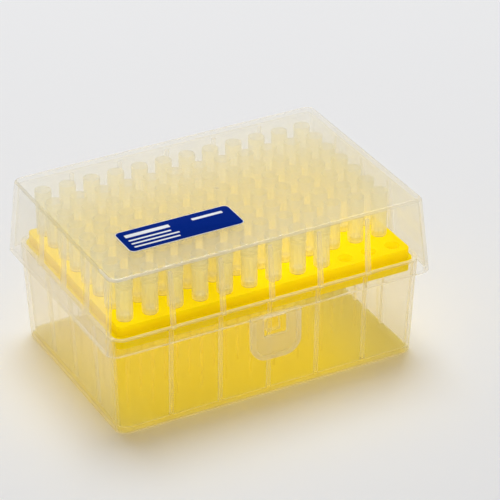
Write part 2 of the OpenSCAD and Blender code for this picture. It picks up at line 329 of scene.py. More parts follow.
def wall_grid(levels, stations):
    """Points of a shell: each level is a rounded rectangle at its own height.

    x = sign * half length + radius * (cos - sign) + offset - cos * rib depth, and y likewise with sin,
    both times the level's scale, which draws a flat face in towards its middle. Columns of a level:
    margin beyond the outer tips, height, corner radius, rib depth, scale.
    """
    margin, z, radius, depth, scale = (column[:, None] for column in np.array(levels, float).T)
    angle, sx, sy, fx, fy, rib = stations[:, :6].T
    c, s = np.cos(angle), np.sin(angle)
    x = sx * (GRID_X + margin) + radius * (c - sx) + fx - c * rib * depth
    y = sy * (GRID_Y + margin) + radius * (s - sy) + fy - s * rib * depth
    return np.stack([x * scale, y * scale, np.broadcast_to(z, x.shape)], -1)


def line_marks(levels, stations):
    """Where a shell's pale lines run: on the ribs, and as a painted highlight down each upright corner near
    its short side.

    A corner's line fades over 11 degrees either side of 22.5 degrees off the X axis. The flat faces,
    whose levels are drawn in towards their middle, have none.
    """
    deep, scale = np.array(levels, float)[:, 3:].T
    angle = stations[:, 0]
    off_x = np.degrees(np.arctan2(np.abs(np.sin(angle)), np.abs(np.cos(angle))))
    corner = np.clip(1 - np.abs(off_x - 22.5) / 11, 0, 1)
    return np.maximum((deep > 0)[:, None] * stations[:, 6], (scale == 1)[:, None] * corner)


def arc_levels(margin, z, radius, start, stop, steps, corner, pace=1.0):
    """Levels round a quarter edge: the margin moves with the cosine and the height with the sine.

    The plan's corner radius keeps pace with the margin, so that the edge has one radius all round.
    """
    turn = np.radians(np.linspace(start, stop, steps))
    shift = radius * np.cos(turn)
    return [(margin + d, z + radius * math.sin(t), corner + pace * d, 0.0, 1.0) for d, t in zip(shift, turn)]


def turned(radius, z, groove, centres, fins, per_fin=4):
    """Solids of revolution at several centres: a closed profile of radii and heights.

    A groove takes its depth off the radius over half of each fin's share of the turn.
    """
    around = fins * per_fin
    angle = 2 * math.pi * np.arange(around) / around
    valley = (np.arange(around) % per_fin >= per_fin // 2).astype(float)
    r = radius[:, None] - groove[:, None] * valley
    one = np.stack([r * np.cos(angle), r * np.sin(angle), np.broadcast_to(z[:, None], r.shape)], -1)
    return [skin(one + centre, closed=True) for centre in centres]


def turned_rows(kind, profile, fins, finish, height=None, crease=35):
    """One piece a row of turned solids, a pitch apart from the left end of the row's CAD node.

    Columns of the profile: radius, height and groove depth in millimetres. Heights count from the given
    height, or from the node's foot. The clear plastic throws no shadow of its own.
    """
    radius, z, groove = (np.array(profile) * MM).T
    for row in ROWS:
        node = f"{kind}_row_{row}"
        low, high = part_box(node)
        count = round((high.x - low.x - 2 * radius.max()) / PITCH) + 1
        foot = low.z if height is None else height
        centres = [(low.x + radius.max() + k * PITCH, (low.y + high.y) / 2, foot) for k in range(count)]
        parts = turned(radius, z, groove, centres, fins)
        piece(f"{kind}_{row}", parts, finish, "base", [node], crease).visible_shadow = False


def softened(corners, reach, steps=5):
    """A polygon with rounded corners: each is a quadratic curve that leaves its sides at a given reach."""
    corners = np.array(corners, float)
    before, after = np.roll(corners, 1, 0) - corners, np.roll(corners, -1, 0) - corners
    size = [np.linalg.norm(side, axis=1, keepdims=True) for side in (before, after)]
    t = np.linspace(0, 1, steps)[None, :, None]
    ends = [corners + side / s * np.minimum(reach, 0.45 * s) for side, s in zip((before, after), size)]
    curve = (1 - t) ** 2 * ends[0][:, None] + 2 * t * (1 - t) * corners[:, None] + t**2 * ends[1][:, None]
    return curve.reshape(-1, 2)


def bar_of(outline, left, right, bevel):
    """A YZ outline carried along X, with its ends drawn in over a bevel and closed at their middles."""
    middle = outline.mean(0)
    small = middle + (outline - middle) * (1 - bevel / np.linalg.norm(outline - middle, axis=1).mean())
    loops = [(left, small), (left + bevel, outline), (right - bevel, outline), (right, small)]
    grid = np.stack([np.column_stack([np.full(len(line), x), line]) for x, line in loops])
    return skin(grid, first=(left, *middle), last=(right, *middle))


def hook_of(centre, inner, outer, start, stop, width, x, steps=28):
    """A flat strip bent round a centre: a rounded rectangle carried along an arc in the YZ plane."""
    r, half = (outer + inner) / 2, (outer - inner) / 2
    wide = width / 2
    section = softened([(-half, -wide), (half, -wide), (half, wide), (-half, wide)], 0.3 * MM)
    turn = np.radians(np.linspace(start, stop, steps))[:, None]
    reach = r + section[None, :, 0]
    along = np.broadcast_to(x + section[None, :, 1], reach.shape)
    grid = np.stack([
        np.broadcast_to(along, (steps, len(section))),
        centre[0] + reach * np.cos(turn),
        centre[1] + reach * np.sin(turn),
    ], -1)
    ends = [(x, centre[0] + r * math.cos(t), centre[1] + r * math.sin(t)) for t in (turn[0, 0], turn[-1, 0])]
    return skin(grid, first=ends[0], last=ends[1])


# ---------------------------------------------------------------- finishes


class Field:
    """A value or colour that changes over a surface. Arithmetic on it adds Math nodes."""

    def __init__(self, nodes, socket):
        self.nodes, self.socket = nodes, socket

    def _math(self, operation, first, second, clamp=False):
        return self.nodes.node(
            "ShaderNodeMath", {"operation": operation, "use_clamp": clamp}, {0: first, 1: second}
        )

    def __add__(self, other):
        return self._math("ADD", self, other)

    __radd__ = __add__

    def __mul__(self, other):
        return self._math("MULTIPLY", self, other)

    __rmul__ = __mul__

    def __sub__(self, other):
        return self._math("SUBTRACT", self, other)

    def __rsub__(self, other):
        return self._math("SUBTRACT", other, self)

    def __truediv__(self, other):
        return self._math("DIVIDE", self, other)

    def __pow__(self, other):
        return self._math("POWER", self, other)

    def __abs__(self):
        return self._math("ABSOLUTE", self, 0.0)

    def above(self, edge, soft):
        """0 below the edge and 1 above it, over a soft width."""
        return self._math("ADD", (self - edge) / soft, 0.5, clamp=True)

    def most(self, other):
        return self._math("MAXIMUM", self, other)

    def least(self, other):
        return self._math("MINIMUM", self, other)


class Nodes:
    """The emptied node tree of a material or world."""

    def __init__(self, owner):
        owner.use_nodes = True
        self.tree = owner.node_tree
        self.tree.nodes.clear()

    def node(self, kind, settings=None, inputs=None, out=0):
        """Adds a node: its settings first, then its sockets' values or links. Gives one output, or None."""
        made = self.tree.nodes.new(kind)
        for key, value in (settings or {}).items():
            setattr(made, key, value)
        for key, value in (inputs or {}).items():
            if isinstance(value, Field):
                self.tree.links.new(value.socket, made.inputs[key])
            else:
                made.inputs[key].default_value = value
        return None if out is None else Field(self, made.outputs[out])

    def ray(self, kind):
        """1 for rays of a kind that Light Path names, 0 for others."""
        return self.node("ShaderNodeLightPath", out=f"Is {kind} Ray")

    def mixed(self, factor, first, second):
        """A surface between two surfaces."""
        return self.node("ShaderNodeMixShader", inputs={0: factor, 1: first, 2: second})


class Finish(Nodes):
    """One material in the making: nodes are added by node(), and done() gives the material."""

    def __init__(self, name):
        self.material = bpy.data.materials.new(name)
        super().__init__(self.material)
        self.spot = self.node("ShaderNodeTexCoord", out="Object")
        split = self.node("ShaderNodeSeparateXYZ", inputs={0: self.spot}).socket.node
        self.x, self.y, self.z = (Field(self, split.outputs[k]) for k in range(3))
        self.facing = self.node("ShaderNodeLayerWeight", inputs={"Blend": 0.5}, out="Facing")
        self.line = self.node("ShaderNodeAttribute", {"attribute_name": "rib_and_highlight_line"}, out="Fac")

    def noise(self, size, detail=2.0, stretch=(1, 1, 1)):
        """Cloudy noise from 0 to 1 whose blotches are about size metres across."""
        spot = self.node("ShaderNodeVectorMath", {"operation": "MULTIPLY"}, {0: self.spot, 1: stretch})
        return self.node("ShaderNodeTexNoise", inputs={"Vector": spot, "Scale": 1 / size, "Detail": detail})

    def blend(self, factor, first, second):
        """A colour between two colours."""
        pair = [c if isinstance(c, Field) else (*c, 1.0) for c in (first, second)]
        return self.node("ShaderNodeMix", {"data_type": "RGBA"}, {0: factor, 6: pair[0], 7: pair[1]}, out=2)

    def bump(self, height, depth):
        """A normal that follows a height field; depth is in metres."""
        return self.node("ShaderNodeBump", inputs={"Height": height, "Distance": depth, "Strength": 1.0})

    def grazing(self, cloud, most):
        """Rises as a wall turns from the eye, up to a limit; uneven by the cloud, 0 on the rib and highlight
        lines.
        """
        return (self.facing - 0.22).most(0.0).least(most) * (0.85 + 0.3 * cloud) * (1 - self.line)

    def left_end(self):
        """1 on the walls at the left end of the box, which are clearer, and 0 on all others."""
        return 1 - self.x.above(-52 * MM, 6 * MM)

    def within(self, margin):
        """1 inside a rectangle that stands a margin beyond the outer tips, 0 outside."""
        reach = (abs(self.x) / (GRID_X + margin)).most(abs(self.y) / (GRID_Y + margin))
        return 1 - reach.above(1.0, 0.01)

    def plastic(self, **values):
        """A Principled surface; socket names take underscores for spaces."""
        sockets = {key.replace("_", " "): value for key, value in values.items()}
        return self.node("ShaderNodeBsdfPrincipled", inputs=sockets)

    def milky(self, haze, body, through, light, glow_share, lamp, gloss=None):
        """Clear plastic with a haze of the body's colour; what is behind shows in the colour through.

        The haze scatters light forward by the glow share, in the colour light, and back. Rays from lamps pass
        in the colour lamp. With a gloss, its share of the clear part mirrors and the rest bends light. Light
        goes straight on along the rib and highlight lines, at grazing angles and after a soft bounce.
        """
        glow = self.node("ShaderNodeBsdfTranslucent", inputs={"Color": (*light, 1.0)})
        haze_surface = self.mixed(glow_share, body, glow)
        clear = self.clear(through)
        if gloss is not None:
            bent = self.node(
                "ShaderNodeBsdfRefraction", inputs={"Color": (*through, 1.0), "Roughness": 0, "IOR": 1.13}
            )
            shine = self.node("ShaderNodeBsdfAnisotropic", inputs={"Color": (1, 1, 1, 1), "Roughness": 0.12})
            soft = self.ray("Diffuse")
            straight = self.line.most(self.facing.above(0.45, 0.1)).most(soft)
            clear = self.mixed(gloss * (1 - soft), self.mixed(straight, bent, clear), shine)
        return self.lit_through(self.mixed(haze, clear, haze_surface), lamp)

    def clear(self, shade):
        """What is behind, seen in a colour."""
        return self.node("ShaderNodeBsdfTransparent", inputs={"Color": (*shade, 1.0)})

    def lit_through(self, surface, lamp):
        """A surface that rays from lamps pass in the colour lamp."""
        return self.mixed(self.ray("Shadow"), surface, self.clear(lamp))

    def done(self, surface):
        """Wires the surface to the output and gives the material."""
        self.node("ShaderNodeOutputMaterial", inputs={"Surface": surface}, out=None)
        return self.material


def lid_finish(settings):
    """Clear glossy plastic: grazing walls and moulded edges are milkier, and fine scuffs run along it. The
    top's haze and the line along its edge are painted light and shade.
    """
    f = Finish("lid_clear_plastic")
    cloud = f.noise(14 * MM, 0)
    scuff = f.noise(0.9 * MM, 1, (1, 3, 1))
    # Parts of the lid: the rounded edge, the top, the rim, the hanging tab with its border
    edge = f.z.above(LID_TOP - 1.0 * MM, 0.8 * MM)
    crown = f.z.above(LID_TOP - 1.6 * MM, 0.4 * MM)
    rim = 1 - f.z.above(LID_RIM + 0.7 * MM, 0.3 * MM)
    hung = 1 - f.z.above(LID_RIM - 0.3 * MM, 0.2 * MM)
    border = 1 - f.y.above(LID_LOW.y + 0.25 * MM, 0.1 * MM)
    # Painted highlight and shade: the line along the top's edge is a pale painted highlight at the front,
    # brightest at the left, and a darker painted line elsewhere
    line = f.z.above(LID_TOP - 0.8 * MM, 0.2 * MM) * (1 - f.z.above(LID_TOP - 0.1 * MM, 0.1 * MM))
    front = line * (1 - f.y.above(2 * MM - GRID_Y, 1 * MM))
    line = line - front
    haze = settings.haze + (0.7 - 0.32 * f.left_end()) * f.grazing(cloud, 0.32)
    haze = haze + 0.12 * rim + 0.3 * f.line + 0.45 * line + hung * (0.18 + 0.1 * border)
    haze = haze + front * (0.8 - 0.5 * f.x.above(0.0, 100 * MM))
    # Painted light and shade: the top's haze is darker and yellower, for the rack's yellow light, and the
    # back of the top has less of that light on it
    top = f.blend(f.y.above(12 * MM, 30 * MM), settings.top, (0.88, 0.88, 0.86))
    tone = f.blend(crown - front, settings.tint, top)
    body = f.plastic(
        Base_Color=f.blend(line, tone, settings.line),
        Roughness=0.16 + 0.1 * scuff,
        IOR=1.49,
        Coat_Weight=0.4,
        Coat_Roughness=0.08,
        Normal=f.bump(scuff, 0.004 * MM),
    )
    return f.done(f.milky(
        haze.least(0.9), body, through=(0.995, 0.99, 0.97), light=(0.92, 0.89, 0.79), glow_share=0.5,
        lamp=(1.0, 0.985, 0.94), gloss=0.8 * f.facing**4 + 0.03 * edge,
    ))


def tub_finish(settings):
    """Natural milky plastic with a fine moulded grain; the rack's yellow light on the floor and the low walls
    is painted into its colour.
    """
    f = Finish("tub_milky_plastic")
    cloud = f.noise(11 * MM, 0)
    grain = f.noise(0.25 * MM, 1)
    rim = f.z.above(TUB_TOP - 0.5 * MM, 0.3 * MM)
    base = (1 - f.z.above(2.0 * MM, 0.6 * MM)) * f.within(settings.margin - settings.wall)
    graze = (0.7 - 0.25 * f.left_end()) * f.grazing(cloud, 1.0)
    haze = settings.haze + graze + 0.3 * rim + 0.3 * f.line
    haze = haze.most(0.92 * base).least(0.95)
    # Painted light: the rack's yellow light, strongest low down and at the front, less on the rib and
    # highlight lines
    low = 1 - f.z.above(14 * MM, 26 * MM)
    far = f.y.above(-5 * MM, 50 * MM)
    tone = f.blend(0.75 * low * (1 - 0.7 * far) * (1 - 0.6 * f.line), settings.tint, settings.glow)
    # The floor's ends have less of the rack's yellow light on them, the right one most of all
    bare = f.x.above(34 * MM, 22 * MM).most(0.5 * (1 - f.x.above(-46 * MM, 14 * MM)))
    tone = f.blend(base, tone, f.blend(bare, settings.glow, (0.65, 0.65, 0.29)))
    body = f.plastic(
        Base_Color=tone, Roughness=0.34 + 0.12 * grain, IOR=1.49, Normal=f.bump(grain, 0.006 * MM)
    )
    return f.done(f.milky(
        haze, body, through=(1.0, 0.99, 0.965), light=(0.95, 0.92, 0.82), glow_share=0.5,
        lamp=(0.68, 0.59, 0.30), gloss=0.7 * f.facing**4,
    ))


def rack_finish(settings):
    """Yellow plastic that lets light through, with a fine spark-eroded grain."""
    f = Finish("rack_yellow_plastic")
    cloud = f.noise(9 * MM)
    grain = f.noise(0.22 * MM, 1)
    tint = settings.tint
    # Painted light: the holes and the underside are painted brighter, for light that has crossed the plastic
    # many times
    painted_hole_light = f.within(3.4 * MM) * (1 - f.z.above(RACK_TOP - 0.15 * MM, 0.1 * MM))
    tone = f.blend(cloud, tint, (tint[0] * 0.97, tint[1] * 0.95, tint[2]))
    body = f.plastic(
        Base_Color=f.blend(painted_hole_light, tone, (1.0, 0.96, 0.02)),
        Roughness=0.45 + 0.15 * grain,
        Specular_IOR_Level=0.05,
        Normal=f.bump(grain, 0.01 * MM),
    )
    return f.done(f.milky(
        1 - settings.clearness * cloud, body, through=settings.passed, light=settings.passed,
        glow_share=0.5, lamp=(0.80, 0.73, 0.0),
    ))


def tip_finish(settings):
    """Natural translucent plastic: milky above the rack, most of all at the foot, and clear below it. Its
    yellow, the darker mouth and the brighter, glowing foot are painted light and shade.
    """
    f = Finish("tip_translucent_plastic")
    below = 1 - f.z.above(RACK_TOP + 0.3 * MM, 0.3 * MM)
    foot = 1 - f.z.above(RACK_TOP + 1.5 * MM, 3 * MM)
    haze = settings.haze + 0.12 * f.facing**2 + 0.5 * foot
    haze = (haze * (1 - 0.97 * below)).least(0.92)
    grain = f.noise(0.5 * MM, 0, (1, 1, 0.2))
    # Painted shade and light: the haze is darker towards the mouth and brighter and yellower at the foot
    tone = f.blend(f.z.above(RACK_TOP + 11 * MM, 12 * MM), settings.tint, settings.head)
    tone = f.blend(foot, tone, (1.0, 0.93, 0.35))
    # The rows at the back have less of the rack's yellow light on them
    body = f.plastic(
        Base_Color=f.blend(f.y.above(15 * MM, 30 * MM), tone, (0.82, 0.82, 0.82)),
        Roughness=0.24 + 0.12 * grain,
        IOR=1.49,
        # Painted light: the foot glows yellow, for light that the rack pipes up into it
        Emission_Color=f.blend(foot, (0.0, 0.0, 0.0), (0.30, 0.20, 0.0)),
        Emission_Strength=1.0,
    )
    return f.done(f.milky(
        haze, body, through=(1.0, 0.995, 0.97), light=(1.0, 0.95, 0.70), glow_share=0.45,
        lamp=(1.0, 0.995, 0.97),
    ))


def filter_finish(settings):
    """White porous plug, painted a darker yellow for shade: sintered grains show as a fine knobbly bump."""
    f = Finish("filter_porous_plastic")
    sockets = {"Vector": f.spot, "Scale": 1 / (0.28 * MM)}
    cells = f.node("ShaderNodeTexVoronoi", {"feature": "F1"}, sockets, out="Distance")
    tint = settings.filter_tint
    tone = f.blend(cells, tint, [0.8 * c for c in tint])
    body = f.plastic(Base_Color=tone, Roughness=0.85, Normal=f.bump(1 - cells, 0.06 * MM))
    return f.done(f.lit_through(body, (0.92, 0.9, 0.8)))


def label_finish(settings):
    """Printed film: a bare border, a deep blue field and generic white bars. Lamps shine through it."""
    f = Finish("label_printed_film")
    mid = (LABEL_LOW + LABEL_HIGH) / 2
    half = (LABEL_HIGH - LABEL_LOW) / 2
    u, v = f.x - mid.x, f.y - mid.y

    def block(x, y, wide, tall, corner):
        """1 inside a rounded rectangle: the distance past its inner corners is under the radius."""
        dx = (abs(u - x) - (wide - corner)).most(0.0)
        dy = (abs(v - y) - (tall - corner)).most(0.0)
        return 1 - ((dx * dx + dy * dy) ** 0.5).above(corner, 0.12 * MM)

    rim = settings.border
    field = block(0, 0, half.x - rim, half.y - rim, settings.corner - rim)
    bars = block(-10.2 * MM, 3.2 * MM, 8.0 * MM, 0.95 * MM, 0.3 * MM)
    for y, wide in ((0.2, 7.6), (-2.0, 8.6), (-4.2, 8.2)):
        bars = bars.most(block((wide - 18.2) * MM, y * MM, wide * MM, 0.42 * MM, 0.2 * MM))
    bars = bars.most(block(11.6 * MM, 3.3 * MM, 5.6 * MM, 0.7 * MM, 0.3 * MM))
    film = f.noise(1.2 * MM, 3)
    ink = settings.ink
    uneven_ink = f.blend(film, ink, (ink[0] + 0.004, ink[1] * 1.25, ink[2] * 1.15))
    tone = f.blend(field * (1 - bars), settings.paper, uneven_ink)
    body = f.plastic(
        Base_Color=tone, Roughness=0.32 + 0.1 * film, IOR=1.02, Normal=f.bump(film, 0.005 * MM)
    )
    return f.done(f.lit_through(body, (0.8, 0.8, 0.8)))


def floor_finish(settings):
    """Plain pale matt surface with a barely visible mottle."""
    f = Finish("studio_floor")
    tone = f.blend(f.noise(0.35, 2), settings.floor, [0.985 * c for c in settings.floor])
    return f.done(f.plastic(Base_Color=tone, Roughness=0.9, Specular_IOR_Level=0.1))


# ---------------------------------------------------------------- pieces


class TIPBOX_OT_studio(bpy.types.Operator):
    """Floor, backdrop light, softbox and camera"""

    bl_idname = "tipbox.studio"
    bl_label = "Studio"
    bl_options = {"REGISTER", "UNDO"}

    def execute(self, context):
        scene = context.scene
        studio = scene.tip_box.studio
        scene.view_settings.view_transform = "Standard"
        # A ray through the lid and eight rows of tips crosses dozens of clear faces
        scene.cycles.transparent_max_bounces = 64
        self.floor(scene, studio)
        self.softbox(scene, studio)
        self.world(scene, studio)
        self.camera(scene, studio)
        return {"FINISHED"}

    def floor(self, scene, studio):
        """A square plane a tenth of a millimetre under the box's foot."""
        reach, z = 6.0, -0.1 * MM
        mesh = bpy.data.meshes.new("studio_floor")
        corners = [(-reach, -reach, z), (reach, -reach, z), (reach, reach, z), (-reach, reach, z)]
        mesh.from_pydata(corners, [], [(0, 1, 2, 3)])
        mesh.materials.append(floor_finish(studio))
        floor = bpy.data.objects.new("studio_floor", mesh)
        scene.collection.objects.link(floor)

    def softbox(self, scene, studio):
        """A wide lamp above, a little to the right and behind."""
        light = bpy.data.lights.new("softbox", "AREA")
        light.shape, light.size, light.energy = "SQUARE", 1.7, studio.key
        lamp = bpy.data.objects.new("softbox", light)
        away = Vector((0.14, 0.36, 0.92)).normalized()
        lamp.location = away * 2.5
        lamp.rotation_euler = away.to_track_quat("Z", "Y").to_euler()
        scene.collection.objects.link(lamp)

    def world(self, scene, studio):
        """Even light for the object; the eye, mirrors and clear plastic see a pale backdrop."""
        world = bpy.data.worlds.new("studio_world")
        nodes = Nodes(world)
        seen = nodes.ray("Camera").most(nodes.ray("Glossy")).most(nodes.ray("Transmission"))
        even, pale = (
            nodes.node("ShaderNodeBackground", inputs={"Color": shade, "Strength": strength})
            for shade, strength in (((0.98, 0.99, 1.0, 1.0), studio.fill), ((0.82, 0.82, 0.83, 1.0), 1.0))
        )
        nodes.node("ShaderNodeOutputWorld", inputs={0: nodes.mixed(seen, even, pale)}, out=None)
        scene.world = world

    def camera(self, scene, studio):
        """Stands at the azimuth, elevation and distance from its aim, and rolls about its own axis."""
        a, e, roll = studio.azimuth, studio.elevation, studio.roll
        back = Vector((math.sin(a) * math.cos(e), -math.cos(a) * math.cos(e), math.sin(e)))
        right = Vector((0, 0, 1)).cross(back).normalized()
        up = back.cross(right)
        right, up = (
            right * math.cos(roll) + up * math.sin(roll),
            up * math.cos(roll) - right * math.sin(roll),
        )
        data = bpy.data.cameras.new("studio_camera")
        data.lens, data.sensor_width = studio.lens, 36
        data.clip_start, data.clip_end = 0.01, 50
        camera = bpy.data.objects.new("studio_camera", data)
        place = Matrix((right, up, back)).transposed().to_4x4()
        place.translation = Vector(studio.aim) + back * studio.distance
        camera.matrix_world = place
        scene.collection.objects.link(camera)
        scene.camera = camera


class TIPBOX_OT_tub(bpy.types.Operator):
    """Tub with its ribs, catch and hinge bars"""

    bl_idname = "tipbox.tub"
    bl_label = "Tub"
    bl_options = {"REGISTER", "UNDO"}

    def execute(self, context):
        settings = context.scene.tip_box
        tub, hinge = settings.tub, settings.hinge
        shell, lines = self.shell(tub, settings.ribs)
        parts = [shell, self.catch(tub, settings)]
        for place in (-CLIP_PLACE, CLIP_PLACE):
            parts += self.hinge_bar(tub, hinge, place)
        piece("tub", parts, tub_finish(tub), "base", ["base_box"], lines=lines)
        return {"FINISHED"}

    @staticmethod
    def side(tub, z):
        """Margin of the outer wall at a height."""
        return tub.margin + max(0.0, z - tub.floor) * math.tan(tub.draft)

    def shell(self, tub, ribs):
        """From the underside's middle out round the foot, up, over the rim and down to the floor's middle."""
        foot, soft = tub.foot_edge, 0.25 * MM
        shoulder = TUB_TOP - soft
        outer = self.side(tub, TUB_TOP)
        inner_foot = self.side(tub, tub.floor) - tub.wall
        # The ribs end where the rack's flange sits on them
        seat = SKIRT_FOOT + 3.2 * MM
        seat_in = self.side(tub, seat) - tub.wall
        small = tub.corner - tub.wall
        fillet = tub.floor + 0.5 * MM
        levels = [(tub.margin - foot, 0.0, tub.corner - foot, 0.0, s) for s in (0.5, 0.97, 0.995)]
        levels += arc_levels(tub.margin - foot, foot, foot, -90, 0, 6, tub.corner - foot)
        slope = (outer - tub.margin) / (shoulder - foot)
        levels += [
            (tub.margin + (z - foot) * slope, z, tub.corner, 0.0, 1.0)
            for z in (foot + HOLD, shoulder - HOLD)
        ]
        levels += arc_levels(outer - soft, shoulder, soft, 0, 90, 4, tub.corner - soft)
        levels += arc_levels(outer - tub.wall + soft, shoulder, soft, 90, 180, 4, small + soft)
        lean = (seat_in - inner_foot) / (seat - fillet)
        levels += [
            (seat_in + (z - seat) * lean, z, small, 0.0, 1.0)
            for z in (shoulder - HOLD, seat + 0.02 * MM)
        ]
        levels += [
            (margin, z, small, depth, scale)
            for margin, z, depth, scale in (
                (seat_in, seat, tub.rib_depth, 1.0),
                (inner_foot + HOLD * lean, fillet + HOLD, tub.rib_depth, 1.0),
                (inner_foot, fillet, tub.rib_depth, 1.0),
                (inner_foot - 0.15 * MM, tub.floor + 0.15 * MM, tub.rib_depth, 1.0),
                (inner_foot - 0.5 * MM, tub.floor, tub.rib_depth, 1.0),
                (inner_foot - 0.5 * MM, tub.floor, 0.0, 0.95),
                (inner_foot - 0.5 * MM, tub.floor, 0.0, 0.5),
            )
        ]
        stations = wall_stations(ribs)
        walls = skin(wall_grid(levels, stations), first=(0, 0, 0), last=(0, 0, tub.floor))
        return walls, line_marks(levels, stations)

    def catch(self, tub, settings):
        """Wedge on the front wall: a YZ outline carried along X."""
        latch, lid = settings.latch, settings.lid
        tall = 5.4 * MM
        gap = 0.2 * MM  # to the lid's inner face
        nose = -GRID_Y - (LID_HIGH.x - GRID_X - lid.wall - gap)
        foot = LID_RIM - latch.window_drop - latch.window_height + (latch.window_height - tall) / 2
        root = -GRID_Y - self.side(tub, foot) + tub.wall / 2
        outline = softened([
            (root, foot), (root, foot + tall), (-GRID_Y - self.side(tub, foot + tall), foot + tall),
            (nose, foot + tall * 0.45), (nose, foot),
        ], 0.35 * MM)
        return bar_of(outline, -2.5 * MM, 2.5 * MM, 0.25 * MM)

    def hinge_bar(self, tub, hinge, x):
        """A round bar between two ears, all carried along X."""
        y, z = HINGE.y, HINGE.z
        inner = hinge.clip_width / 2 + hinge.ear_gap
        turn = np.linspace(0, 2 * math.pi, 24, endpoint=False)
        ring = np.stack([y + hinge.bar / 2 * np.cos(turn), z + hinge.bar / 2 * np.sin(turn)], -1)
        parts = [bar_of(ring, x - inner - 0.5 * MM, x + inner + 0.5 * MM, 0.1 * MM)]
        round_r = hinge.bar / 2 + 0.7 * MM
        root = GRID_Y + self.side(tub, z) - tub.wall / 2
        turn = np.radians(np.linspace(-70, 90, 12))
        nose = np.stack([y + round_r * np.cos(turn), z + round_r * np.sin(turn)], -1)
        outline = np.concatenate([[(root, z - 2 * round_r)], nose, [(root, z + round_r)]])
        for side in (-1, 1):
            middle = x + side * (inner + hinge.ear_width / 2)
            half = hinge.ear_width / 2
            parts.append(bar_of(outline, middle - half, middle + half, 0.2 * MM))
        return parts


class TIPBOX_OT_rack(bpy.types.Operator):
    """Yellow finish for the rack's plate and skirt, and the short sleeves under its holes"""

    bl_idname = "tipbox.rack"
    bl_label = "Rack"
    bl_options = {"REGISTER", "UNDO"}

    def execute(self, context):
        rack = context.scene.tip_box.rack
        finish = rack_finish(rack)
        for name in ("tip_rack", "rack_skirt"):
            mesh = frame["nodes"][name].data
            mesh.materials.clear()
            mesh.materials.append(finish)
        bore, top = rack.bore / 2, PLATE_LOW.z + 0.1 * MM
        soft, outer, foot = 0.15 * MM, bore + rack.sleeve_wall, PLATE_LOW.z - rack.sleeve
        radius = np.array([bore, outer, outer, outer - soft, bore + soft, bore])
        z = np.array([top, top, foot + soft, foot, foot, foot + soft])
        columns = (np.arange(COLUMNS) - (COLUMNS - 1) / 2) * PITCH
        rows = (np.arange(len(ROWS)) - (len(ROWS) - 1) / 2) * PITCH
        centres = [(x, y, 0.0) for x in columns for y in rows]
        piece("rack_sleeves", turned(radius, z, 0 * z, centres, 5), finish, "base")
        return {"FINISHED"}


class TIPBOX_OT_tips(bpy.types.Operator):
    """Ribbed hollow tips, one piece a row"""

    bl_idname = "tipbox.tips"
    bl_label = "Tips"
    bl_options = {"REGISTER", "UNDO"}

    def execute(self, context):
        tips = context.scene.tip_box.tips
        groove = tips.fin_depth / MM
        # Round the wall's section, with heights from the rack's top
        profile = [
            (0.24, -33.7, 0), (0.45, -33.7, 0), (1.05, -4.8, 0), (2.3, -3.7, 0), (2.45, -3.5, 0),
            (2.45, -0.02, 0), (2.52, 0, 0), (2.66, 0.2, 0), (2.7, 0.5, 0), (2.68, 0.9, 0),
            (2.7, 1.1, groove), (2.7, 10.7, groove), (2.7, 11.1, 0), (2.72, 11.35, 0), (2.9, 11.6, 0),
            *((2.76 if side == 0 else 2.9, ring + side, 0) for ring in (12.05, 13.05, 14.05)
              for side in (-0.1, 0, 0.1)),
            (2.9, 16.62, 0), (2.83, 16.78, 0), (2.7, 16.8, 0), (2.52, 16.6, 0), (2.5, 11.6, 0),
            (1.95, 2.05, 0), (1.95, -2.4, 0), (0.65, -2.42, 0), (0.62, -4.9, 0),
        ]
        turned_rows("tips", profile, tips.fins, tip_finish(tips), RACK_TOP, crease=50)
        return {"FINISHED"}


class TIPBOX_OT_filters(bpy.types.Operator):
    """Filter plugs, one piece a row"""

    bl_idname = "tipbox.filters"
    bl_label = "Filters"
    bl_options = {"REGISTER", "UNDO"}

    def execute(self, context):
        # The sharp edges are broken, and the core ends just off the axis
        profile = [(0.02, 0, 0), (1.8, 0, 0), (1.93, 0.12, 0), (1.93, 4.08, 0), (1.8, 4.2, 0), (0.02, 4.2, 0)]
        turned_rows("filters", profile, 6, filter_finish(context.scene.tip_box.tips))
        return {"FINISHED"}


